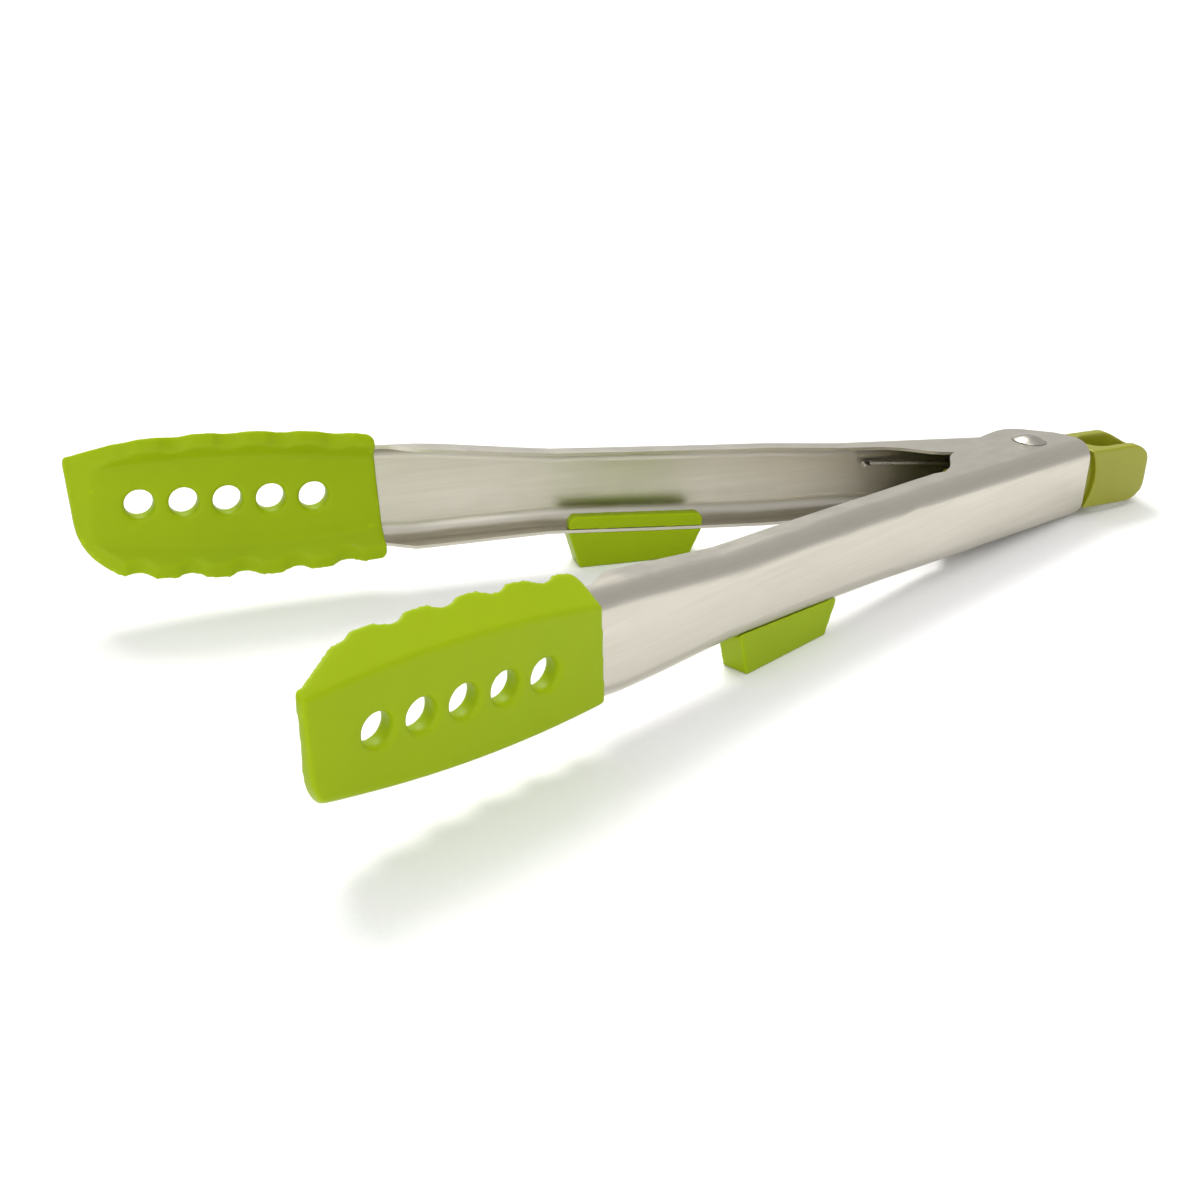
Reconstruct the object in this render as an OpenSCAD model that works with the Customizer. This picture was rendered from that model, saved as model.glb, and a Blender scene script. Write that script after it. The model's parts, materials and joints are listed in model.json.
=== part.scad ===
// Spring-loaded kitchen tongs, resting open on their side on two feet.
// The tongs frame has the pivot axis on Z and the tips toward -X.
// Each node is drawn in that frame, then tilted onto the table by place().

/* [Overall] */
// distance from pivot axis to the middle drain hole, along the web
reach = 213.5; // [195:0.5:240]
// outside height of the outer arm's channel at the hinge
hinge_h = 22; // [20:0.5:26]
// outside height of the channel where it enters the tip
neck_h = 26; // [24:0.5:27]
// outside height of the channel at its waist
waist_h = 21.5; // [20:0.5:24]

/* [Arm] */
// steel sheet thickness
steel_t = 0.8; // [0.6:0.1:1]
// outside radius of the channel bends
bend_r = 5; // [4:0.1:5.1]
// distance from pivot axis to the outer face of the web
web_off = 11.3; // [11:0.1:13]
// web direction at the hinge, from the middle plane
hinge_dir = 12.25; // [11:0.25:12.5]
// steepest web direction
mid_dir = 15.25; // [14.25:0.25:16.75]
// direction of the tip, from the middle plane
tip_dir = 11.75; // [10.75:0.25:12.75]
// length of channel behind the pivot axis
rear_len = 14; // [12:0.5:16]
// flange depth at the hinge
flange_hinge = 8.4; // [7:0.1:8.8]
// flange depth at the waist
flange_waist = 8.2; // [7:0.1:8.6]
// flange depth ahead of the feet
flange_front = 9; // [7.5:0.1:9.6]
// flange depth inside the tip
flange_neck = 5.2; // [5.2:0.1:5.5]

/* [Ears] */
// lobe radius of the outer ear
outer_lobe_r = 10.2; // [9:0.1:11]
// lobe radius of the inner ear
inner_lobe_r = 7.3; // [7:0.1:7.4]
// distance from pivot axis to the start of the ear's front curve
ear_len = 50; // [44:1:56]
// gap between nested ears
ear_gap = 0.2; // [0.15:0.05:0.4]

/* [Tip] */
// tip length
tip_len = 73.5; // [66:0.5:80]
// share of the tip length ahead of the middle drain hole
tip_front_share = 0.497; // [0.47:0.001:0.52]
// tip half height at its middle
tip_half = 18.8; // [17.6:0.1:20]
// tip half height at its front
tip_front_half = 16; // [15:0.1:17]
// bow centre behind the middle drain hole
bow_x = 2; // [0:0.5:4]
// radius of the tip's upper front corner
tip_top_r = 7; // [6:0.5:12]
// radius of the tip's lower front corner
tip_corner_r = 12; // [8:0.5:13]
// tip rear corner radius
tip_rear_r = 3; // [2:0.25:3.5]
// slant of the tip's ends
tip_slant = 8; // [0:0.5:12]
// tip depth from outer face to rim
tip_depth = 8.4; // [7.6:0.1:9]
// thickness of the tip's flat middle
tip_wall = 4.8; // [4.2:0.1:5.4]
// half height of the flat outer face
face_half = 13.5; // [12.8:0.1:14]
// half height of the flat inner face
floor_half = 11.2; // [10.5:0.1:11.6]
// steel face depth below the tip's outer face
cover_t = 1.8; // [1.4:0.1:2]
// thickness of the lip at its rim, across
rim_w = 3.5; // [3:0.1:4]
// length of channel inside the tip
insert_len = 7; // [5:0.5:9]
// tip depth at its front end
lip_front_depth = 2.8; // [2.4:0.1:3.6]
// length over which the lips rise from the front end
lip_run = 12; // [9:0.5:15]

/* [Drain holes and scallops] */
// drain hole diameter
hole_d = 7; // [6:0.25:8]
// drain hole pitch
hole_pitch = 10.4; // [9.5:0.1:11]
// drain holes in the row
hole_count = 5; // [3:2:5]
// width of the eased edge around a drain hole
hole_ease = 0.6; // [0.3:0.1:0.9]
// scallop radius
scallop_r = 5.6; // [4.8:0.1:6.4]
// scallop depth below the rim
scallop_cut = 1.2; // [0.9:0.1:1.8]
// scallop pitch
scallop_pitch = 12.6; // [11.5:0.1:13]
// scallops on each lip
scallop_count = 5; // [3:2:5]
// scallop row's centre behind the middle drain hole
scallop_shift = 1.6; // [0:0.1:3]

/* [Steel end inside the tip] */
// height of the steel end
tongue_h = 19; // [18:0.5:20]
// distance from the steel end to the tip's front
tongue_back = 8.5; // [6:0.5:11]
// height of the long slot around the drain holes
tongue_slot_h = 10.5; // [10:0.25:11]
// gap between silicone and moulded-in steel
mould_gap = 0.02; // [0.01:0.01:0.05]

/* [Feet] */
// distance from pivot axis to the foot's middle, along the web
foot_reach = 110; // [104:1:116]
// foot length at its top
foot_len = 36; // [32:0.5:40]
// foot length at its underside
foot_base_len = 28; // [24:0.5:31]
// foot depth below the flange at its middle
foot_drop = 8.6; // [7.5:0.1:10]
// foot width across the flange
foot_w = 7.2; // [6:0.1:7.4]
// foot side's distance inside the web's outer face
foot_inset = 1; // [0.8:0.1:1.4]
// gap between the foot and the curved bend above it
bend_gap = 0.1; // [0.08:0.01:0.2]
// height of the pad above the flange
pad_h = 3.6; // [3:0.1:4.2]
// distance from the web's outer face to the pad
pad_inset = 5.2; // [5.2:0.1:5.5]
// diameter of the pegs through the flange
peg_d = 2.4; // [2:0.1:2.8]
// half the distance between pegs
peg_x = 9; // [7:0.5:11]

/* [Pivot] */
// rivet shank diameter
shank_d = 5; // [4.4:0.1:5.4]
// radial running clearance of the ears on the shank
run_gap = 0.05; // [0.03:0.01:0.08]
// rivet head diameter
head_d = 9.5; // [8.5:0.25:11]
// rivet head dome height
dome_h = 1.5; // [1:0.1:2]
// diameter of the formed end
formed_d = 8.5; // [8:0.25:10]
// height of the formed end
formed_h = 0.6; // [0.4:0.1:0.7]
// gap under each end of the rivet
rivet_gap = 0.05; // [0.03:0.01:0.1]

/* [Spring] */
// spring wire diameter
wire_d = 1.4; // [1.2:0.1:1.6]
// turns in the coil
turns = 4.5; // [3.5:1:4.5]
// gap between coil and shank
coil_gap = 0.7; // [0.5:0.1:0.9]
// distance from pivot axis to the end of each leg
leg_len = 48; // [42:1:50]
// length of the bent leg end
leg_flick = 2.6; // [2:0.1:3.5]
// gap between leg and web
leg_gap = 0.1; // [0.05:0.05:0.3]

/* [Pull tab] */
// tab travel
travel = 10; // [8:0.5:10]
// half width of the wide part behind the coil
tab_half_w = 5.9; // [5.7:0.1:6.1]
// half width of the neck
neck_half_w = 5.4; // [4.6:0.1:5.6]
// half width of the nose
nose_half_w = 3.2; // [2.6:0.1:3.4]
// distance from pivot axis to the nose end
nose_reach = 28; // [27:0.5:33]
// length of the solid nose
nose_len = 12; // [10:0.5:13]
// gap between the spring's coil and each slotted cheek
window_gap = 0.5; // [0.3:0.05:0.8]
// gap between the coil and the ends of the cheeks' window
window_end_gap = 0.8; // [0.6:0.1:1.2]
// height of the nose above the inner face of each cheek
nose_step = 0.6; // [0.3:0.1:1.2]
// gap between the cheeks and the ears
cheek_gap = 1.4; // [1.3:0.05:1.8]
// side gap between slot and shank
slot_gap = 0.35; // [0.3:0.05:0.5]
// distance from pivot axis to the loop's shoulder
shoulder_x = 17; // [16.5:0.25:20]
// depth of the curved hollow in front of the loop's sides
shoulder_cut = 3; // [2:0.1:3.4]
// loop length behind the shoulder
loop_len = 24.5; // [22:0.5:30]
// loop half width
loop_half_w = 7.6; // [7:0.1:8.4]
// loop half height
loop_half_h = 8.3; // [7.6:0.1:8.4]
// loop corner radius in plan
loop_corner_r = 2.5; // [2:0.25:4]
// loop wall thickness
loop_wall = 3; // [2.6:0.1:3.6]
// solid length between shoulder and hanging hole
loop_web = 4; // [3.8:0.1:6]

/* [Hidden] */
eps = 0.01;
bend_steps = 6;
fn_small = 48;
fn_big = 96;
fn_bow = 360;

// arm heights
outer_half = hinge_h / 2;
inner_half = outer_half - steel_t - ear_gap;
waist_half = waist_h / 2;
neck_half = neck_h / 2;

// stations along the web, measured from the foot of the pivot
s_curve = 50;
s_waist_in = 74;
s_waist_out = 134;
s_mid = 110;
s_front = 150;
tip_front = tip_len * tip_front_share;
tip_rear = tip_len - tip_front;
s_neck = reach - tip_rear - 4;
s_end = reach - tip_rear + insert_len;
station_step = 5;

// piecewise-linear laws along the web
function dir_at(s) = lookup(s, [[0, hinge_dir], [s_curve, hinge_dir], [s_mid, mid_dir],
    [s_front, mid_dir], [s_neck, tip_dir], [s_end, tip_dir]]);
function half_at(s, hh) = lookup(s, [[0, hh], [s_curve + 4, hh], [s_waist_in, waist_half],
    [s_waist_out, waist_half], [s_neck - 6, neck_half], [s_end, neck_half]]);
// flange edge beside the pivot: height over the pivot axis for a lobe of radius r
function lobe_at(s, r) = lookup(s, [[-rear_len, -4.5], [-13.7 / 14 * rear_len, -2.2],
    [-12.8 / 14 * rear_len, 0.03 * r], [-1.08 * r, 0.25 * r], [-0.87 * r, 0.5 * r], [-0.7 * r, 0.71 * r],
    [-0.5 * r, 0.87 * r], [-0.25 * r, 0.97 * r], [0, r], [0.3 * r, 0.985 * r], [0.6 * r, 0.955 * r],
    [0.2 * ear_len, 0.9 * r], [0.3 * ear_len, 0.8 * r], [0.4 * ear_len, 0.68 * r],
    [0.5 * ear_len, 0.56 * r], [0.58 * ear_len, 0.45 * r], [0.63 * ear_len, 0.34 * r],
    [0.67 * ear_len, 0.19 * r], [0.72 * ear_len, 0], [0.78 * ear_len, -0.19 * r],
    [0.86 * ear_len, -0.33 * r], [0.94 * ear_len, flange_hinge - web_off + 0.15],
    [ear_len, flange_hinge - web_off]]);
function ear_stations(r) = [-rear_len, -13.7 / 14 * rear_len, -12.8 / 14 * rear_len, -1.08 * r,
    -0.87 * r, -0.7 * r, -0.5 * r, -0.25 * r, 0, 0.3 * r, 0.6 * r, 0.2 * ear_len, 0.3 * ear_len,
    0.4 * ear_len, 0.5 * ear_len, 0.58 * ear_len, 0.63 * ear_len, 0.67 * ear_len, 0.72 * ear_len,
    0.78 * ear_len, 0.86 * ear_len, 0.94 * ear_len];
foot_in = foot_reach - foot_len / 2;
foot_out = foot_reach + foot_len / 2;
tab_depth = foot_inset + foot_w;
function depth_at(s, r) = s < ear_len ? web_off + lobe_at(s, r)
    : s > foot_in - 0.5 && s < foot_out + 0.5 ? lookup(s, [[foot_in, flange_waist],
        [foot_in + 1, tab_depth], [foot_out - 1, tab_depth], [foot_out, flange_waist]])
    : lookup(s, [[ear_len, flange_hinge], [s_waist_in, flange_waist], [foot_out + 1, flange_waist],
        [s_front + 4, flange_front], [s_neck - 4, flange_front], [s_neck + 3, flange_neck],
        [s_end, flange_neck]]);

// points on the web's outer face, walked from the foot of the pivot
start_pt = [web_off * sin(hinge_dir), -web_off * cos(hinge_dir)];
function step_pt(p, s, ds) = p - ds * [cos(dir_at(s + ds / 2)), sin(dir_at(s + ds / 2))];
function walk(s, p = start_pt, at = 0) = at + 1 >= s ? step_pt(p, at, s - at)
    : walk(s, step_pt(p, at, 1), at + 1);
function web_pt(s) = s <= 0 ? start_pt - s * [cos(hinge_dir), sin(hinge_dir)] : walk(s);

// channel section: points are [inward depth, height]
function bend(r, h, c, a0) = [for (i = [0:bend_steps])
    [c + r * cos(a0 + 90 * i / bend_steps), h + r * sin(a0 + 90 * i / bend_steps)]];
function section_out(h, d) = concat([[d, h]], bend(bend_r, h - bend_r, bend_r, 90),
    bend(bend_r, bend_r - h, bend_r, 180), [[d, -h]]);
function section_in(h, d, t) = concat([[d, h - t]], bend(bend_r - t, h - bend_r, bend_r, 90),
    bend(bend_r - t, bend_r - h, bend_r, 180), [[d, t - h]]);
function section(h, d, t) = concat(section_out(h, d), section_in(h, d, t));
half_n = 2 * (bend_steps + 1) + 2;
ring_n = 2 * half_n;

function place_pt(q, s) = let (p = web_pt(s), a = dir_at(max(s, 0)))
    [p[0] - q[0] * sin(a), p[1] + q[0] * cos(a), q[1]];
function stations(r) = concat(ear_stations(r),
    [for (s = [ear_len:station_step:foot_in - station_step / 2]) s],
    [foot_in, foot_in + 1], [for (i = [1:5]) foot_in + foot_len * i / 6], [foot_out - 1, foot_out],
    [for (s = [foot_out + station_step:station_step:s_neck - station_step / 2]) s],
    [s_neck, s_neck + 3, s_end]);

// tip frame on the arm
tip_origin = web_pt(reach) + cover_t * [sin(tip_dir), -cos(tip_dir)];
slant = tan(tip_slant);

// bow of the tip's long sides, and the half height of its rim along the tip
bow_sag = tip_half - tip_front_half;
bow_r = ((tip_front + bow_x) * (tip_front + bow_x) + bow_sag * bow_sag) / (2 * bow_sag);
function bow_half(x) = tip_half - bow_r + sqrt(bow_r * bow_r - (x - bow_x) * (x - bow_x));

// table plane: through the ears' lowest rear edge and the feet
rear_x = rear_len * cos(hinge_dir) + start_pt[0];
foot_pt = web_pt(foot_reach);
foot_low = waist_half + foot_drop;
tilt = atan((foot_low - outer_half) / (rear_x - foot_pt[0]));
// the tip's furthest point is where its upper front corner begins
front_z = bow_half(tip_top_r - tip_front) - tip_top_r;
front_x = tip_origin[0] - (tip_front + front_z * slant) * cos(tip_dir) - lip_front_depth * sin(tip_dir);
tail_x = shoulder_x + loop_len;
drop = (outer_half + rear_x * tan(tilt)) * cos(tilt);
shift_x = -((front_x + tail_x) * cos(tilt) + front_z * sin(tilt)) / 2;

module place() {
    translate([shift_x, 0, drop]) rotate([0, tilt, 0]) children();
}

module on_web(s) {
    p = web_pt(s);
    translate([p[0], p[1], 0]) rotate([0, 0, dir_at(s)]) children();
}

module in_tip() {
    translate([tip_origin[0], tip_origin[1], 0]) rotate([0, 0, tip_dir]) children();
}

// side plate drawn in length and height, standing across the arm
module side_plate(y0, y1) {
    translate([0, y1, 0]) rotate([90, 0, 0]) linear_extrude(height = y1 - y0) children();
}

module channel(hh, lobe) {
    st = stations(lobe);
    n = len(st);
    pts = [for (s = st) for (q = section(half_at(s, hh), depth_at(s, lobe), steel_t)) place_pt(q, s)];
    sides_out = [for (k = [0:n - 2]) for (i = [0:half_n - 2])
        [k * ring_n + i, k * ring_n + i + 1, (k + 1) * ring_n + i + 1, (k + 1) * ring_n + i]];
    sides_in = [for (k = [0:n - 2]) for (i = [0:half_n - 2])
        [k * ring_n + half_n + i, (k + 1) * ring_n + half_n + i,
         (k + 1) * ring_n + half_n + i + 1, k * ring_n + half_n + i + 1]];
    lip_top = [for (k = [0:n - 2])
        [k * ring_n, (k + 1) * ring_n, (k + 1) * ring_n + half_n, k * ring_n + half_n]];
    lip_low = [for (k = [0:n - 2])
        [k * ring_n + half_n - 1, k * ring_n + ring_n - 1,
         (k + 1) * ring_n + ring_n - 1, (k + 1) * ring_n + half_n - 1]];
    cap_rear = [for (i = [0:half_n - 2]) [i, half_n + i, half_n + i + 1, i + 1]];
    e = (n - 1) * ring_n;
    cap_front = [for (i = [0:half_n - 2])
        [e + i, e + i + 1, e + half_n + i + 1, e + half_n + i]];
    polyhedron(points = pts,
        faces = concat(sides_out, sides_in, lip_top, lip_low, cap_rear, cap_front));
}

module tongue_shape(g) {
    x0 = tongue_back - tip_front - g;
    x1 = tip_rear - insert_len + 1;
    slot_half = tongue_slot_h / 2 - g;
    slot_x = (hole_count - 1) / 2 * hole_pitch;
    difference() {
        translate([x0, -tongue_h / 2 - g]) square([x1 - x0, tongue_h + 2 * g]);
        translate([-slot_x, -slot_half]) square([2 * slot_x, 2 * slot_half]);
        for (k = [-1, 1]) translate([k * slot_x, 0]) circle(r = slot_half, $fn = fn_small);
    }
}

module tongue(g) {
    in_tip() side_plate(cover_t - g, cover_t + steel_t + g) tongue_shape(g);
}

module peg_holes(g) {
    on_web(foot_reach) for (k = [-1, 1])
        translate([k * peg_x, (pad_inset + foot_inset + foot_w) / 2, -waist_half - 1])
            cylinder(h = steel_t + 2, d = peg_d + 2 * g, $fn = fn_small);
}

module arm_half(hh, lobe) {
    difference() {
        channel(hh, lobe);
        peg_holes(mould_gap);
        translate([0, 0, -hh - 1]) cylinder(h = 2 * hh + 2, d = shank_d + 2 * run_gap, $fn = fn_small);
    }
    tongue(0);
}

// each long side of the tip is part of a wide cone whose axis runs through the depth
module bow_side(side, half0, half1, y0, y1) {
    translate([bow_x, y0, side * (tip_half - bow_r)]) rotate([-90, 0, 0])
        cylinder(h = y1 - y0, r1 = bow_r - tip_half + half0, r2 = bow_r - tip_half + half1, $fn = fn_bow);
}
module bowed(half0, half1, y0, y1) {
    intersection() {
        bow_side(1, half0, half1, y0, y1);
        bow_side(-1, half0, half1, y0, y1);
    }
}

// rounded ends in length and height, open along the bowed sides
function corner(x, r, a0) = [for (i = [0:corner_steps])
    let (a = a0 + 90 * i / corner_steps) [x + r * cos(a), bow_half(x) - r + r * sin(a)]];
corner_steps = 8;
beyond = tip_half + 2;
function slanted(q) = [q[0] - q[1] * slant, q[1]];
function long_side(front_r) = concat(corner(tip_rear - tip_rear_r, tip_rear_r, 0),
    [[tip_rear - tip_rear_r, beyond], [front_r - tip_front, beyond]],
    corner(front_r - tip_front, front_r, 90));
module tip_outline() {
    up = long_side(tip_top_r);
    low = long_side(tip_corner_r);
    around = concat(up, [for (i = [len(low) - 1:-1:0]) [low[i][0], -low[i][1]]]);
    polygon([for (q = around) slanted(q)]);
}

module tray_cut() {
    rise = (tip_half - rim_w - floor_half) / (tip_depth - tip_wall);
    bowed(floor_half, tip_half - rim_w + rise, tip_wall, tip_depth + 1);
}

// the lips are lower at the open front end
module lip_ease() {
    x0 = -tip_front - tip_half * slant - 1;
    x1 = lip_run - tip_front;
    translate([0, 0, -beyond]) linear_extrude(height = 2 * beyond)
        polygon([[x0, lip_front_depth], [-tip_front, lip_front_depth], [x1, tip_depth],
                 [x1, tip_depth + 1], [x0, tip_depth + 1]]);
}

module drain_holes() {
    for (i = [0:hole_count - 1])
        translate([(i - (hole_count - 1) / 2) * hole_pitch, 0, 0]) rotate([-90, 0, 0]) {
            translate([0, 0, -1]) cylinder(h = tip_wall + 2, d = hole_d, $fn = fn_small);
            translate([0, 0, -eps])
                cylinder(h = hole_ease, d1 = hole_d + 2 * hole_ease, d2 = hole_d, $fn = fn_small);
            translate([0, 0, tip_wall - hole_ease])
                cylinder(h = hole_ease + eps, d1 = hole_d, d2 = hole_d + 2 * hole_ease, $fn = fn_small);
        }
}

module scallops() {
    lip_z = (tip_half + floor_half) / 2;
    for (side = [-1, 1]) for (i = [0:scallop_count - 1])
        translate([(i - (scallop_count - 1) / 2) * scallop_pitch + scallop_shift
                   - side * lip_z * slant, tip_depth + scallop_r - scallop_cut, side * lip_z])
            cylinder(h = tip_half, r = scallop_r, center = true, $fn = fn_small);
}

// channel-shaped pocket for the end of the arm
module channel_pocket(g) {
    translate([tip_rear - insert_len - g, cover_t, 0]) rotate([90, 0, 90])
        linear_extrude(height = insert_len + 6)
            polygon([for (q = concat(
                [[flange_neck + g, neck_half + g]],
                bend(bend_r + g, neck_half - bend_r, bend_r, 90),
                bend(bend_r + g, bend_r - neck_half, bend_r, 180),
                [[flange_neck + g, -neck_half - g], [flange_neck + g, steel_t - neck_half + g]],
                [for (i = [bend_steps:-1:0]) let (a = 180 + 90 * i / bend_steps)
                    [bend_r + (bend_r - steel_t - g) * cos(a),
                     bend_r - neck_half + (bend_r - steel_t - g) * sin(a)]],
                [for (i = [bend_steps:-1:0]) let (a = 90 + 90 * i / bend_steps)
                    [bend_r + (bend_r - steel_t - g) * cos(a),
                     neck_half - bend_r + (bend_r - steel_t - g) * sin(a)]],
                [[flange_neck + g, neck_half - steel_t - g]])) q]);
}

module tip_half_pair() {
    in_tip() difference() {
        intersection() {
            bowed(face_half, tip_half, 0, tip_depth);
            side_plate(-1, tip_depth + 1) tip_outline();
        }
        tray_cut();
        lip_ease();
        drain_holes();
        scallops();
        channel_pocket(mould_gap);
        side_plate(cover_t - mould_gap, cover_t + steel_t + mould_gap) tongue_shape(mould_gap);
    }
}

module foot_half() {
    base_half = foot_base_len / 2;
    top_half = foot_len / 2;
    mid_y = (pad_inset + foot_inset + foot_w) / 2;
    pad_w = foot_inset + foot_w - pad_inset;
    wedge_z = 0.3 * bend_r - waist_half;
    intersection() {
        on_web(foot_reach) {
            difference() {
                side_plate(foot_inset, foot_inset + foot_w)
                    polygon([[-top_half, wedge_z], [top_half, wedge_z], [top_half, -waist_half],
                             [base_half, -foot_low - 2], [-base_half, -foot_low - 2], [-top_half, -waist_half]]);
                translate([-foot_len, bend_r, bend_r - waist_half]) rotate([0, 90, 0])
                    cylinder(h = 2 * foot_len, r = bend_r + bend_gap, $fn = fn_big);
                translate([-foot_len, bend_r, -waist_half - mould_gap])
                    cube([2 * foot_len, foot_w, bend_r]);
            }
            side_plate(pad_inset, pad_inset + pad_w)
                polygon([[-top_half, steel_t - waist_half + mould_gap],
                         [top_half, steel_t - waist_half + mould_gap],
                         [top_half, steel_t - waist_half + pad_h * 0.6],
                         [top_half - 1.2, steel_t - waist_half + pad_h],
                         [1.2 - top_half, steel_t - waist_half + pad_h],
                         [-top_half, steel_t - waist_half + pad_h * 0.6]]);
            for (k = [-1, 1]) translate([k * peg_x, mid_y, -waist_half - 1])
                cylinder(h = steel_t + 2, d = peg_d, $fn = fn_small);
        }
        table_block();
    }
}

// everything above the table plane
module table_block() {
    translate([rear_x, 0, -outer_half]) rotate([0, -tilt, 0])
        translate([-2 * reach, -reach, 0]) cube([2.4 * reach, 2 * reach, reach]);
}

module arm_right() {
    color([0.78, 0.77, 0.73]) place() arm_half(outer_half, outer_lobe_r);
}

module arm_left() {
    color([0.78, 0.77, 0.73]) place() mirror([0, 1, 0]) arm_half(inner_half, inner_lobe_r);
}

module tip_right() {
    color([0.60, 0.70, 0.02]) place() tip_half_pair();
}

module tip_left() {
    color([0.60, 0.70, 0.02]) place() mirror([0, 1, 0]) tip_half_pair();
}

module foot_right() {
    color([0.58, 0.68, 0.05]) place() foot_half();
}

module foot_left() {
    color([0.58, 0.68, 0.05]) place() mirror([0, 1, 0]) foot_half();
}

module pivot_rivet() {
    head_r = head_d / 2;
    dome_r = (head_r * head_r + dome_h * dome_h) / (2 * dome_h);
    top = outer_half + rivet_gap;
    color([0.82, 0.81, 0.78]) place() {
        translate([0, 0, -top - eps]) cylinder(h = 2 * top + 2 * eps, d = shank_d, $fn = fn_small);
        intersection() {
            translate([0, 0, top + dome_h - dome_r]) sphere(r = dome_r, $fn = fn_big);
            translate([0, 0, top]) cylinder(h = dome_h + 1, d = head_d, $fn = fn_small);
        }
        translate([0, 0, -top - formed_h])
            cylinder(h = formed_h, d1 = formed_d - 1, d2 = formed_d, $fn = fn_small);
    }
}

// torsion spring path: coil round the shank, one leg along each web
coil_r = shank_d / 2 + coil_gap + wire_d / 2;
coil_pitch = wire_d * 1.02;
coil_half = turns * coil_pitch / 2;
leg_in = web_off - steel_t - wire_d / 2 - leg_gap;
function hinge_pt(x, y, side) = let (c = cos(hinge_dir), s = sin(hinge_dir))
    [x * c - y * s, side * (x * s + y * c)];
leg_turn_near = hinge_pt(-leg_len + 4, -leg_in, 1);
coil_steps = 20;
// the coil starts on the near side and ends on the far side
coil_a0 = 255;
coil_a1 = coil_a0 - 360 * turns;
function spring_path() = let (
    n = round(coil_steps * turns), za = -coil_half, zb = coil_half,
    tip = [leg_turn_near[0], leg_turn_near[1]])
    concat(
        [[tip[0] - leg_flick * 0.6, tip[1] + leg_flick, za], [tip[0] - 0.6, tip[1] + 0.3, za],
         [tip[0] + 1, tip[1] + 0.25, za]],
        [for (i = [0:n]) let (a = coil_a0 + (coil_a1 - coil_a0) * i / n)
            [coil_r * cos(a), coil_r * sin(a), za + (zb - za) * i / n]],
        [[tip[0] + 1, -tip[1] - 0.25, zb], [tip[0] - 0.6, -tip[1] - 0.3, zb],
         [tip[0] - leg_flick * 0.6, -tip[1] - leg_flick, zb]]);

function unit(v) = v / norm(v);
module wire(path, r, sides) {
    n = len(path);
    dirs = [for (i = [0:n - 1]) unit(path[min(i + 1, n - 1)] - path[max(i - 1, 0)])];
    pts = [for (i = [0:n - 1])
        let (side = unit(cross([0, 0, 1], dirs[i])), up = cross(dirs[i], side))
        for (k = [0:sides - 1]) let (a = 360 * k / sides)
            path[i] + r * (cos(a) * side + sin(a) * up)];
    walls = [for (i = [0:n - 2]) for (k = [0:sides - 1])
        [i * sides + k, (i + 1) * sides + k,
         (i + 1) * sides + (k + 1) % sides, i * sides + (k + 1) % sides]];
    cap0 = [[for (k = [0:sides - 1]) k]];
    cap1 = [[for (k = [sides - 1:-1:0]) (n - 1) * sides + k]];
    polyhedron(points = pts, faces = concat(walls, cap0, cap1));
}

module torsion_spring() {
    color([0.70, 0.69, 0.66]) place() wire(spring_path(), wire_d / 2, 10);
}

tab_half_h = inner_half - steel_t - cheek_gap;

function tab_pts() = let (sh = travel + shank_d / 2 + 3)
    concat([[-nose_reach, -nose_half_w + 1.2], [-nose_reach + 1.2, -nose_half_w],
        [-sh, -nose_half_w], [-sh + 4, -tab_half_w], [5, -tab_half_w], [9, -neck_half_w],
        [shoulder_x + loop_web, -neck_half_w]],
        [[shoulder_x + loop_web, neck_half_w], [9, neck_half_w], [5, tab_half_w],
        [-sh + 4, tab_half_w], [-sh, nose_half_w], [-nose_reach + 1.2, nose_half_w],
        [-nose_reach, nose_half_w - 1.2]]);

module stadium(x0, x1, r) {
    translate([x0, -r]) square([x1 - x0, 2 * r]);
    translate([x0, 0]) circle(r = r, $fn = fn_small);
    translate([x1, 0]) circle(r = r, $fn = fn_small);
}

module tab_body() {
    coil_room = coil_r + wire_d / 2 + window_end_gap;
    window_half = coil_half + wire_d / 2 + window_gap;
    nose_half_h = window_half + nose_step;
    difference() {
        translate([0, 0, -tab_half_h]) linear_extrude(height = 2 * tab_half_h) polygon(tab_pts());
        translate([0, 0, -tab_half_h - 1]) linear_extrude(height = 2 * tab_half_h + 2)
            stadium(-travel, 0, shank_d / 2 + slot_gap);
        translate([-travel - coil_room, -tab_half_w - 1, -window_half])
            cube([travel + 2 * coil_room, 2 * tab_half_w + 2, 2 * window_half]);
        for (z = [nose_half_h, -nose_half_h - tab_half_h])
            translate([-nose_reach - 1, -tab_half_w - 1, z])
                cube([nose_len - 4, 2 * tab_half_w + 2, tab_half_h]);
    }
}

// loop seen from the side: round at the tail, hollowed at the shoulder
module loop_side() {
    r = loop_half_h;
    back = tail_x - r;
    hollow_r = 1.7 * r;
    difference() {
        union() {
            translate([shoulder_x, -r]) square([back - shoulder_x, 2 * r]);
            translate([back, 0]) circle(r = r, $fn = fn_big);
        }
        translate([shoulder_x + shoulder_cut - hollow_r, 0]) circle(r = hollow_r, $fn = fn_big);
    }
}

module loop_plan() {
    r = loop_half_w;
    c = loop_corner_r;
    translate([shoulder_x, -r]) square([tail_x - c - shoulder_x, 2 * r]);
    translate([tail_x - c - 1, c - r]) square([c + 1, 2 * (r - c)]);
    for (k = [-1, 1]) translate([tail_x - c, k * (r - c)]) circle(r = c, $fn = fn_small);
}

module loop() {
    r = loop_half_w;
    inner = r - loop_wall;
    hole_x0 = shoulder_x + loop_web + inner;
    hole_x1 = tail_x - loop_wall - inner;
    intersection() {
        translate([0, 0, -loop_half_h - 1]) linear_extrude(height = 2 * loop_half_h + 2) difference() {
            loop_plan();
            stadium(hole_x0, hole_x1, inner);
        }
        side_plate(-r - 1, r + 1) loop_side();
    }
}

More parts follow.
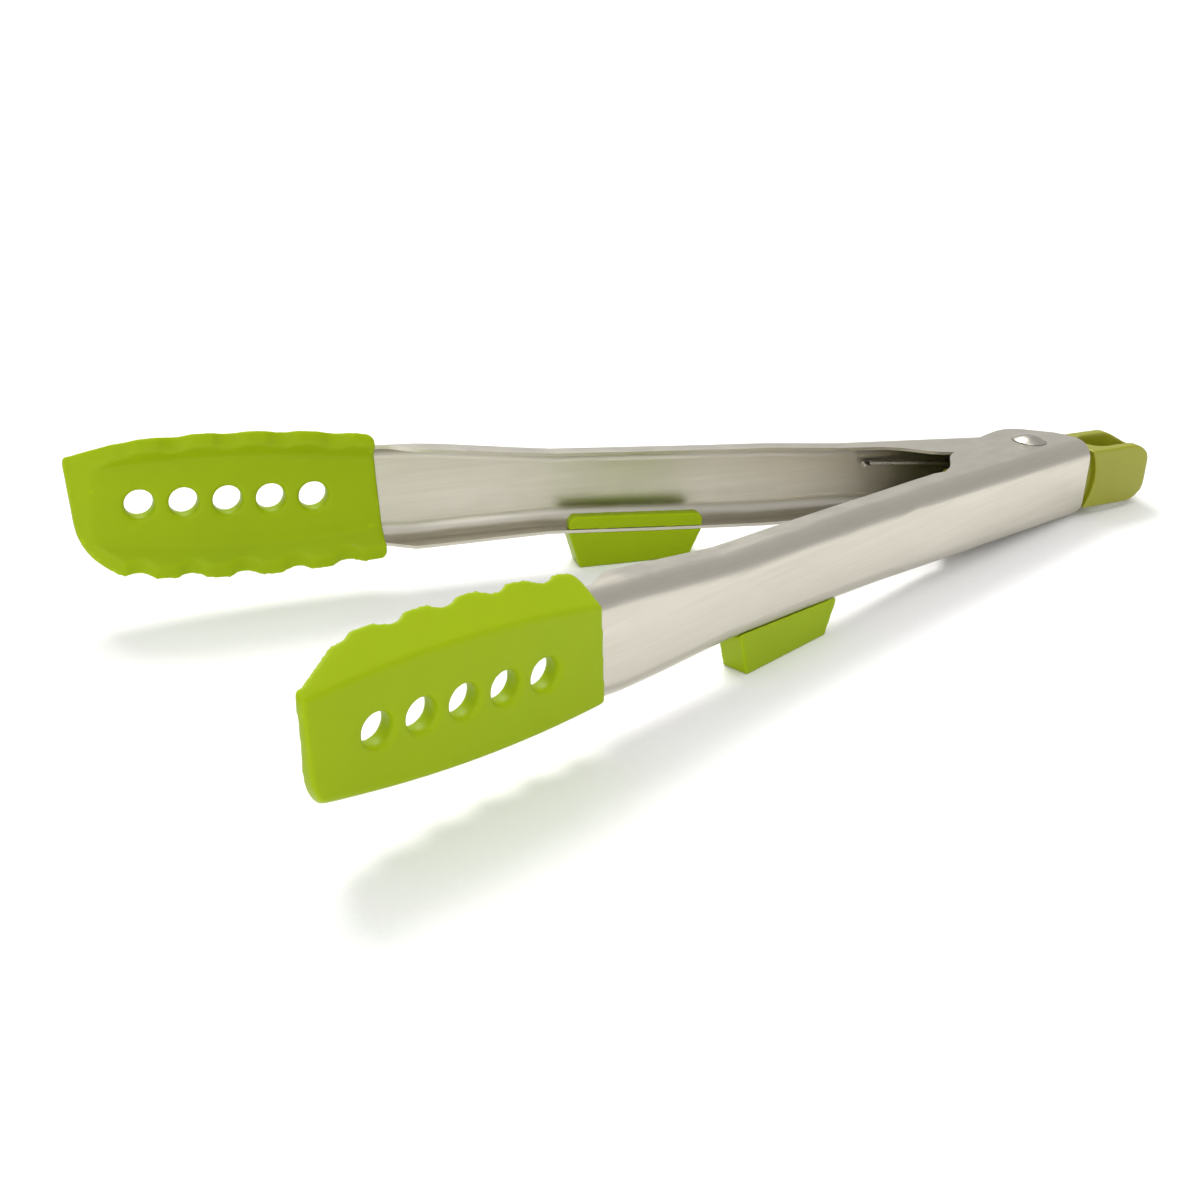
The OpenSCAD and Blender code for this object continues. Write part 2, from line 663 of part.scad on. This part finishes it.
module pull_tab() {
    color([0.57, 0.58, 0.16]) place() {
        tab_body();
        loop();
    }
}

arm_right();
arm_left();
tip_right();
tip_left();
foot_right();
foot_left();
pivot_rivet();
torsion_spring();
pull_tab();
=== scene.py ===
"""Looks for the spring-loaded kitchen tongs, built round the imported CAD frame."""
import json
import math

import bmesh
import bpy
from mathutils import Matrix, Vector


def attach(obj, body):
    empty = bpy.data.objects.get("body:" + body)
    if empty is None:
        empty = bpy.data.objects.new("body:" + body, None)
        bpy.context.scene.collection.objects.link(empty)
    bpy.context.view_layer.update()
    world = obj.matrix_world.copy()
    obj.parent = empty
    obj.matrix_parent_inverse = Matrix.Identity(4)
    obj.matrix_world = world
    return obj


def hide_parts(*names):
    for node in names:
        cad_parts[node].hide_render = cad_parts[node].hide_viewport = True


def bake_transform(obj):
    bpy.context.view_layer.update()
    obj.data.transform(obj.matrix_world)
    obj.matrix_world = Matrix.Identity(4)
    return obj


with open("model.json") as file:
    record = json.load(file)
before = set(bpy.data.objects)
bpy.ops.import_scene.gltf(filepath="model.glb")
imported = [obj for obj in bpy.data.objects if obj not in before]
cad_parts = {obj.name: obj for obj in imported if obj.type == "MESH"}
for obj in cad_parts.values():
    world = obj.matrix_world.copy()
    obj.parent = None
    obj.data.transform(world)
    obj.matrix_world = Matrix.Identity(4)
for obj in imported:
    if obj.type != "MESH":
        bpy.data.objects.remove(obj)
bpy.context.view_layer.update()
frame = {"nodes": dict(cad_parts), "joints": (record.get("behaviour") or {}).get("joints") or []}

MM = 0.001
NODES = frame["nodes"]
JOINTS = {j["name"]: j for j in frame["joints"]}

# ---------------------------------------------------------------- sizes, in metres
# arms and heads
HINGE_HALF = 11.0 * MM          # half the outer arm's height at the hinge
HINGE_DIR = math.radians(12.25)  # an arm's direction at the hinge, from the middle plane
TIP_DIR = math.radians(11.75)   # a head's direction, from the middle plane
TIP_SLANT = math.tan(math.radians(8))
FILL_BACK = 0.3 * MM            # from a head's rear face to the steel that fills its pocket

# rivet
SHANK_R = 2.5 * MM
HEAD_R = 4.75 * MM
DOME_H = 1.5 * MM
DOME_EDGE = 0.12 * MM
DOME_STEPS = 14
FORMED_R = 4.25 * MM
FORMED_H = 0.6 * MM
RIVET_GAP = 0.05 * MM

# spring
WIRE_R = 0.7 * MM
COIL_R = 3.9 * MM
COIL_TURNS = 4.5
COIL_PITCH = 1.43 * MM
COIL_START = math.radians(255)
COIL_STEPS = 200
LEG_LEN = 44.0 * MM
LEG_OFF = 9.7 * MM              # leg's distance from the pivot axis, square to the web
LEG_BOW = 0.25 * MM             # how far a leg's end leans inward
# the short bend at a leg's end: how far on, and how far inward
LEG_BEND = [(-0.1 * MM, 0.3 * MM), (-0.5 * MM, 0.5 * MM), (-0.9 * MM, 0.95 * MM),
            (-1.2 * MM, 1.6 * MM), (-1.4 * MM, 2.6 * MM)]

# finish
WELD = 0.001 * MM
FLAT_ANGLE = math.radians(0.4)  # below this, two faces are one flat
SHARP_ANGLE = math.radians(40)
EASED_EDGE = 0.14 * MM
HEAD_VOXEL, HEAD_ROUNDS = 0.40 * MM, 30
STAND_VOXEL, STAND_ROUNDS = 0.30 * MM, 8
TAB_VOXEL, TAB_ROUNDS = 0.30 * MM, 16

# the tongs frame: pivot axis up, tab travel along
PIVOT = Vector(JOINTS["left_close"]["pos_m"])
UP = Vector(JOINTS["left_close"]["axis"]).normalized()
ALONG = Vector(JOINTS["tab_slide"]["axis"]).normalized()
ACROSS = UP.cross(ALONG)
TONGS = Matrix.Translation(PIVOT) @ Matrix((ALONG, ACROSS, UP)).transposed().to_4x4()


# ---------------------------------------------------------------- mesh helpers
def new_object(name, mesh):
    obj = bpy.data.objects.new(name, mesh)
    bpy.context.scene.collection.objects.link(obj)
    return obj


def applied(obj):
    """The object's modifiers are applied to its mesh."""
    depsgraph = bpy.context.evaluated_depsgraph_get()
    mesh = bpy.data.meshes.new_from_object(obj.evaluated_get(depsgraph))
    obj.modifiers.clear()
    old = obj.data
    obj.data = mesh
    bpy.data.meshes.remove(old)
    return obj


def made(name, bm):
    """A new object from a bmesh."""
    mesh = bpy.data.meshes.new(name)
    bm.to_mesh(mesh)
    bm.free()
    return new_object(name, mesh)


def welded(node):
    """A bmesh of a CAD node's mesh with its seams welded."""
    bm = bmesh.new()
    bm.from_mesh(NODES[node].data)
    bmesh.ops.remove_doubles(bm, verts=bm.verts, dist=WELD)
    return bm


def fill_with(obj, node, point, outward):
    """Adds the end of a neighbouring node, cut at a plane, so that its pocket in obj is filled."""
    bm = welded(node)
    cut = bmesh.ops.bisect_plane(bm, geom=bm.verts[:] + bm.edges[:] + bm.faces[:], plane_co=point,
                                 plane_no=outward, clear_outer=True)
    rim = [e for e in cut["geom_cut"] if isinstance(e, bmesh.types.BMEdge)]
    bmesh.ops.holes_fill(bm, edges=rim)
    bm.from_mesh(obj.data)
    bm.to_mesh(obj.data)
    bm.free()


def moulded(name, node, voxel, rounds, body, filler=None):
    """A soft or moulded part: the CAD solid with every edge rounded as a mould leaves it."""
    obj = made(name, welded(node))
    if filler:
        fill_with(obj, *filler)
    remesh = obj.modifiers.new("remesh", "REMESH")
    remesh.mode = "VOXEL"
    remesh.voxel_size = voxel
    remesh.use_smooth_shade = True
    smooth = obj.modifiers.new("smooth", "SMOOTH")
    smooth.factor = 0.5
    smooth.iterations = rounds
    applied(obj)
    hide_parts(node)
    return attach(obj, body)


def sheet_metal(name, node, body):
    """A pressed sheet part: eased edges, smooth bends and true flats."""
    bm = welded(node)
    bmesh.ops.dissolve_limit(bm, angle_limit=FLAT_ANGLE, verts=bm.verts, edges=bm.edges)
    for face in bm.faces:
        face.smooth = True
    for edge in bm.edges:
        edge.smooth = not (edge.is_manifold and edge.calc_face_angle(0) > SHARP_ANGLE)
    obj = made(name, bm)
    bevel = obj.modifiers.new("eased_edge", "BEVEL")
    bevel.width = EASED_EDGE
    bevel.segments = 2
    bevel.limit_method = "ANGLE"
    bevel.angle_limit = math.radians(45)
    normals = obj.modifiers.new("flat_normals", "WEIGHTED_NORMAL")
    normals.keep_sharp = True
    applied(obj)
    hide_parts(node)
    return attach(obj, body)


def ring_tube(name, rings):
    """A closed tube through rings of points, with end caps."""
    bm = bmesh.new()
    loops = [[bm.verts.new(p) for p in ring] for ring in rings]
    count = len(rings[0])
    for a, b in zip(loops, loops[1:]):
        for k in range(count):
            bm.faces.new((a[k], b[k], b[(k + 1) % count], a[(k + 1) % count]))
    bm.faces.new(loops[0])
    bm.faces.new(reversed(loops[-1]))
    for face in bm.faces:
        face.smooth = len(face.verts) == 4
    bmesh.ops.recalc_face_normals(bm, faces=bm.faces)
    return made(name, bm)


def wire(name, path, sides=20):
    """A round wire along a path in the tongs frame, with its cut ends eased."""
    last = len(path) - 1
    rings = []
    for i, p in enumerate(path):
        ahead = (path[min(i + 1, last)] - path[max(i - 1, 0)]).normalized()
        side = Vector((0, 0, 1)).cross(ahead).normalized()
        top = ahead.cross(side)
        r = WIRE_R * (0.72 if i in (0, last) else 1.0)
        rings.append([TONGS @ (p + r * (math.cos(a) * side + math.sin(a) * top))
                      for a in (2 * math.pi * k / sides for k in range(sides))])
    return ring_tube(name, rings)


def turned(name, profile, segments=96):
    """A turned part round the pivot axis, from (radius, height) points."""
    bm = bmesh.new()
    rings = [[bm.verts.new(TONGS @ Vector((r * math.cos(a), r * math.sin(a), z)))
              for a in (2 * math.pi * k / segments for k in range(segments))] for r, z in profile]
    for a, b in zip(rings, rings[1:]):
        for k in range(segments):
            bm.faces.new((a[k], a[(k + 1) % segments], b[(k + 1) % segments], b[k]))
    bm.faces.new(reversed(rings[0]))
    bm.faces.new(rings[-1])
    for face in bm.faces:
        face.smooth = True
    for edge in bm.edges:
        edge.smooth = edge.calc_face_angle(0) < math.radians(35)
    bmesh.ops.recalc_face_normals(bm, faces=bm.faces)
    return made(name, bm)


# ---------------------------------------------------------------- material helpers
class Nodes:
    """A short way to lay out a material's nodes."""

    def __init__(self, name):
        self.material = bpy.data.materials.new(name)
        self.material.use_nodes = True
        self.tree = self.material.node_tree
        self.shader = self.tree.nodes["Principled BSDF"]

    def add(self, kind, values=None, links=None, **settings):
        node = self.tree.nodes.new(kind)
        for key, value in settings.items():
            setattr(node, key, value)
        for key, value in (values or {}).items():
            node.inputs[key].default_value = value
        for key, source in (links or {}).items():
            self.tree.links.new(source, node.inputs[key])
        return node

    def shade(self, links, **values):
        for key, value in values.items():
            self.shader.inputs[key.replace("_", " ")].default_value = value
        for key, source in links.items():
            self.tree.links.new(source, self.shader.inputs[key])

    def place(self):
        return self.add("ShaderNodeTexCoord").outputs["Object"]

    def turned_place(self, turn, scale):
        """Object coordinates turned about Z and stretched, for grain along a part."""
        mapping = self.add("ShaderNodeMapping", links={"Vector": self.place()}, vector_type="TEXTURE")
        mapping.inputs["Rotation"].default_value = (0, 0, turn)
        mapping.inputs["Scale"].default_value = scale
        return mapping.outputs["Vector"]

    def noise(self, vector, scale, detail=3.0, roughness=0.55):
        node = self.add("ShaderNodeTexNoise", {"Scale": scale, "Detail": detail, "Roughness": roughness},
                        {"Vector": vector})
        return node.outputs["Fac"]

    def range(self, value, low, high, from_low=0.3, from_high=0.7):
        node = self.add("ShaderNodeMapRange",
                        {"From Min": from_low, "From Max": from_high, "To Min": low, "To Max": high},
                        {"Value": value})
        return node.outputs["Result"]

    def total(self, a, b):
        return self.add("ShaderNodeMath", links={0: a, 1: b}, operation="ADD").outputs[0]

    def ramp(self, value, *stops):
        """A colour between two (position, colour) stops."""
        node = self.add("ShaderNodeValToRGB", links={"Fac": value})
        for element, (position, colour) in zip(node.color_ramp.elements, stops):
            element.position = position
            element.color = (*colour, 1)
        return node.outputs["Color"]

    def mix(self, factor, a, b):
        """Colour a to colour b by a factor; each is a plain colour or another node's output."""
        node = self.add("ShaderNodeMix", data_type="RGBA")
        self.tree.links.new(factor, node.inputs[0])
        for index, colour in ((6, a), (7, b)):
            if isinstance(colour, tuple):
                node.inputs[index].default_value = (*colour, 1)
            else:
                self.tree.links.new(colour, node.inputs[index])
        return node.outputs[2]

    def bump(self, height, strength, distance, normal=None):
        links = {"Height": height}
        if normal is not None:
            links["Normal"] = normal
        node = self.add("ShaderNodeBump", {"Strength": strength, "Distance": distance}, links)
        return node.outputs["Normal"]

    def edge(self, low, high):
        """How sharply the surface turns outward: a mask for the plastic's worn edges and for the
        silicone's painted edge highlight.
        """
        pointiness = self.add("ShaderNodeNewGeometry").outputs["Pointiness"]
        return self.range(pointiness, 0.0, 1.0, low, high)


def brushed_steel(name, turn):
    """Satin stainless, brushed along the arm, with faint streaks and handling marks."""
    n = Nodes(name)
    grain = n.noise(n.turned_place(turn, (0.06, 0.0006, 0.0006)), 1.0, 4.0, 0.6)
    streak = n.noise(n.turned_place(turn, (0.12, 0.0035, 0.0035)), 1.0, 2.0)
    cloud = n.noise(n.place(), 28.0, 3.0)
    mark = n.noise(n.place(), 160.0, 5.0, 0.7)
    tone = n.ramp(streak, (0.25, (0.560, 0.530, 0.455)), (0.75, (0.605, 0.575, 0.500)))
    tone = n.mix(n.range(grain, 0.0, 0.28), tone, (0.46, 0.425, 0.35))
    tone = n.mix(n.range(cloud, 0.0, 0.18), tone, (0.67, 0.64, 0.57))
    rough = n.total(n.range(grain, 0.29, 0.40), n.range(mark, -0.03, 0.04))
    n.shade({"Base Color": tone, "Roughness": rough,
             "Normal": n.bump(grain, 0.10, 0.04 * MM, n.bump(cloud, 0.03, 0.3 * MM))},
            Metallic=1.0)
    return n.material


def silicone(name, base, light):
    """Satin silicone: soft body colour, faint mould grain and a painted highlight, a lighter tone on the
    edges.
    """
    n = Nodes(name)
    cloud = n.noise(n.place(), 45.0, 3.0)
    fine = n.noise(n.place(), 2200.0, 2.0, 0.5)
    tone = n.mix(n.range(cloud, 0.0, 0.35), base, light)
    # painted highlight: the lime turns lighter where the surface turns outward, on every edge
    tone = n.mix(n.edge(0.505, 0.56), tone, light)
    rough = n.total(n.range(cloud, 0.40, 0.46), n.range(fine, -0.02, 0.03))
    n.shade({"Base Color": tone, "Roughness": rough,
             "Normal": n.bump(fine, 0.10, 0.03 * MM, n.bump(cloud, 0.08, 0.4 * MM))},
            IOR=1.40, Specular_IOR_Level=0.20, Subsurface_Weight=0.12, Subsurface_Scale=0.004,
            Subsurface_Radius=(0.6, 1.0, 0.1))
    return n.material


def satin_plastic(name, base, light):
    """Moulded tab plastic with a fine spark-eroded grain, rubbed smoother on the edges."""
    n = Nodes(name)
    cloud = n.noise(n.place(), 60.0, 3.0)
    grain = n.noise(n.place(), 1500.0, 4.0, 0.6)
    worn = n.edge(0.51, 0.58)
    tone = n.mix(n.range(cloud, 0.0, 0.4), base, light)
    tone = n.mix(worn, tone, light)
    rough = n.total(n.range(grain, 0.36, 0.46), n.range(worn, 0.0, -0.08, 0, 1))
    n.shade({"Base Color": tone, "Roughness": rough,
             "Normal": n.bump(grain, 0.16, 0.03 * MM, n.bump(cloud, 0.05, 0.3 * MM))},
            IOR=1.48)
    return n.material


RING_WAVE = 9000.0              # turning rings: radians of their wave per metre


def turned_steel(name):
    """Polished rivet steel with fine turning rings and small scuffs."""
    n = Nodes(name)
    centred = n.add("ShaderNodeVectorMath", {1: PIVOT}, {0: n.place()}, operation="SUBTRACT")
    radius = n.add("ShaderNodeVectorMath", links={0: centred.outputs[0]}, operation="LENGTH")
    rings = n.add("ShaderNodeMath", {1: RING_WAVE}, {0: radius.outputs["Value"]},
                  operation="MULTIPLY")
    wave = n.add("ShaderNodeMath", links={0: rings.outputs[0]}, operation="SINE").outputs[0]
    scuff = n.noise(n.place(), 420.0, 5.0, 0.65)
    tone = n.ramp(scuff, (0.3, (0.43, 0.40, 0.35)), (0.7, (0.51, 0.485, 0.43)))
    n.shade({"Base Color": tone, "Roughness": n.range(scuff, 0.27, 0.36),
             "Normal": n.bump(wave, 0.05, 0.02 * MM, n.bump(scuff, 0.03, 0.02 * MM))},
            Metallic=1.0)
    return n.material


def drawn_wire(name):
    """Spring wire with fine die marks and a tone that varies along it."""
    n = Nodes(name)
    draw = n.noise(n.place(), 900.0, 4.0, 0.6)
    heat = n.noise(n.place(), 70.0, 2.0)
    tone = n.ramp(heat, (0.3, (0.46, 0.44, 0.41)), (0.7, (0.60, 0.58, 0.54)))
    n.shade({"Base Color": tone, "Roughness": n.range(draw, 0.24, 0.38),
             "Normal": n.bump(draw, 0.12, 0.02 * MM)},
            Metallic=1.0)
    return n.material


def paper_floor():
    """Seamless pale studio paper."""
    n = Nodes("studio_paper")
    fibre = n.noise(n.place(), 900.0, 4.0)
    tone = n.ramp(fibre, (0.2, (0.90, 0.90, 0.905)), (0.8, (0.93, 0.93, 0.935)))
    n.shade({"Base Color": tone, "Normal": n.bump(fibre, 0.03, 0.05 * MM)}, Roughness=0.7)
    return n.material


def dress(obj, material):
    obj.data.materials.clear()
    obj.data.materials.append(material)
    return obj


# ---------------------------------------------------------------- pieces
LIME = (0.262, 0.362, 0.0)
LIME_LIGHT = (0.308, 0.415, 0.0)
OLIVE = (0.245, 0.250, 0.006)
OLIVE_LIGHT = (0.295, 0.300, 0.012)

lime = silicone("lime_silicone", LIME, LIME_LIGHT)
olive = satin_plastic("olive_plastic", OLIVE, OLIVE_LIGHT)
ARM_TURN = math.radians(14)     # the brushing follows an arm's mean direction
steels = {"right": brushed_steel("steel_right", ARM_TURN),
          "left": brushed_steel("steel_left", -ARM_TURN)}

# each arm's node and body have the same name
for side, sign in (("right", -1), ("left", 1)):
    arm = "arm_" + side
    # the channel's end inside the head, up to the head's slanted rear face
    rearward = TONGS.to_3x3() @ Vector((math.cos(TIP_DIR), -sign * math.sin(TIP_DIR), TIP_SLANT))
    rearward.normalize()
    rear = max(rearward.dot(v.co) for v in NODES["tip_" + side].data.vertices) - FILL_BACK
    channel_end = (arm, rearward * rear, rearward)
    dress(sheet_metal("channel_" + side, arm, arm), steels[side])
    dress(moulded("head_" + side, "tip_" + side, HEAD_VOXEL, HEAD_ROUNDS, arm, channel_end),
          lime)
    dress(moulded("stand_" + side, "foot_" + side, STAND_VOXEL, STAND_ROUNDS, arm), lime)

dress(moulded("hang_tab", "pull_tab", TAB_VOXEL, TAB_ROUNDS, "pull_tab"), olive)

# rivet: domed head, shank and formed end
rivet_top = HINGE_HALF + RIVET_GAP
dome_sphere = (HEAD_R ** 2 + DOME_H ** 2) / (2 * DOME_H)
rivet_profile = [(FORMED_R - 0.5 * MM, -rivet_top - FORMED_H),
                 (FORMED_R - 0.12 * MM, -rivet_top - FORMED_H * 0.72),
                 (FORMED_R, -rivet_top - FORMED_H * 0.2),
                 (FORMED_R - 0.1 * MM, -rivet_top),
                 (SHANK_R, -rivet_top),
                 (SHANK_R, rivet_top),
                 (HEAD_R - DOME_EDGE, rivet_top),
                 (HEAD_R, rivet_top + DOME_EDGE * 0.5)]
for step in range(1, DOME_STEPS + 1):
    r = HEAD_R * (1 - step / (DOME_STEPS + 0.5))
    sag = dome_sphere - math.sqrt(dome_sphere ** 2 - r ** 2)
    rivet_profile.append((r, rivet_top + DOME_H - sag))
rivet = turned("rivet", rivet_profile)
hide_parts("pivot_rivet")
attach(rivet, "core")
dress(rivet, turned_steel("rivet_polish"))

# torsion spring: coil on the shank, and a leg that follows each arm
coil_half = COIL_TURNS * COIL_PITCH / 2
coil_turn = -2 * math.pi * COIL_TURNS
spring_wire = drawn_wire("spring_wire")


def coil_point(t):
    a = COIL_START + coil_turn * t
    return Vector((COIL_R * math.cos(a), COIL_R * math.sin(a), coil_half * (2 * t - 1)))


def leg_path(side):
    """From the coil out along the web, ending in a short bend inward. Side is -1 near, 1 far."""
    end = Vector((-LEG_LEN * math.cos(HINGE_DIR) + LEG_OFF * math.sin(HINGE_DIR),
                  side * (LEG_LEN * math.sin(HINGE_DIR) + LEG_OFF * math.cos(HINGE_DIR)),
                  side * coil_half))
    start = coil_point(0 if side < 0 else 1)
    reach = end - start
    inward = Vector((0, -side, 0))
    straight = [start + reach * t for t in (0.01, 0.1, 0.2, 0.35, 0.5, 0.65, 0.8, 0.9, 0.97)]
    straight = [p + inward * LEG_BOW * (p - start).length / reach.length for p in straight]
    bend = [end + Vector((x, 0, 0)) + inward * y for x, y in LEG_BEND]
    return straight + bend


coil = wire("spring_coil", [coil_point(i / COIL_STEPS) for i in range(COIL_STEPS + 1)])
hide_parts("torsion_spring")
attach(coil, "core")
dress(coil, spring_wire)
for side, name in ((-1, "right"), (1, "left")):
    path = leg_path(side)
    leg = wire("spring_leg_" + name, path)
    dress(leg, spring_wire)
    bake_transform(leg)

# ---------------------------------------------------------------- studio
FLOOR_HALF = 6.0
FLOOR_DROP = 0.02 * MM          # keeps the feet's undersides clear of the paper
floor_mesh = bpy.data.meshes.new("floor")
floor_mesh.from_pydata([(x * FLOOR_HALF, y * FLOOR_HALF, 0)
                        for x, y in ((-1, -1), (1, -1), (1, 1), (-1, 1))], [], [(0, 1, 2, 3)])
floor = new_object("floor", floor_mesh)
floor.location.z = -FLOOR_DROP
floor.data.materials.append(paper_floor())


def softbox(name, place, size, power, tint=(1, 1, 1)):
    """A rectangular light aimed at the middle of the object's footprint."""
    light = bpy.data.lights.new(name, "AREA")
    light.shape = "RECTANGLE"
    light.size, light.size_y = size
    light.energy = power
    light.color = tint
    obj = bpy.data.objects.new(name, light)
    bpy.context.scene.collection.objects.link(obj)
    obj.location = place
    obj.rotation_euler = (-Vector(place)).to_track_quat("-Z", "Y").to_euler()


softbox("key_back", (0.15, 0.9, 1.25), (1.0, 0.6), 19, (1.0, 0.985, 0.96))
softbox("fill_front", (-0.9, -1.3, 0.9), (1.6, 1.2), 13)
softbox("top", (-0.2, -0.1, 1.7), (1.8, 1.8), 8)

WORLD_STRENGTH = 0.58
world = bpy.data.worlds.new("studio")
world.use_nodes = True
background = world.node_tree.nodes["Background"]
background.inputs["Color"].default_value = (1, 1, 1, 1)
background.inputs["Strength"].default_value = WORLD_STRENGTH
bpy.context.scene.world = world

# camera at the photograph's viewing angle, placed in the tongs frame
CAMERA_PLACE = Vector((-362.6, -341.1, 157.2)) * MM
CAMERA_AZIMUTH = math.radians(56.28)
CAMERA_ELEVATION = math.radians(22.72)
CAMERA_ROLL = math.radians(4.64)
CAMERA_LENS_MM = 55.87
SENSOR_WIDTH_MM = 36
CLIP_START = 0.01
camera_data = bpy.data.cameras.new("camera")
camera_data.lens = CAMERA_LENS_MM
camera_data.sensor_width = SENSOR_WIDTH_MM
camera_data.clip_start = CLIP_START
camera = bpy.data.objects.new("camera", camera_data)
bpy.context.scene.collection.objects.link(camera)
look = Vector((math.cos(CAMERA_AZIMUTH) * math.cos(CAMERA_ELEVATION),
               math.sin(CAMERA_AZIMUTH) * math.cos(CAMERA_ELEVATION), -math.sin(CAMERA_ELEVATION)))
level_right = look.cross(Vector((0, 0, 1))).normalized()
level_up = level_right.cross(look)
right = math.cos(CAMERA_ROLL) * level_right + math.sin(CAMERA_ROLL) * level_up
turn = Matrix((right, right.cross(look), -look)).transposed()
camera.matrix_world = TONGS @ Matrix.Translation(CAMERA_PLACE) @ turn.to_4x4()
bpy.context.scene.camera = camera
bpy.context.scene.view_settings.view_transform = "Standard"
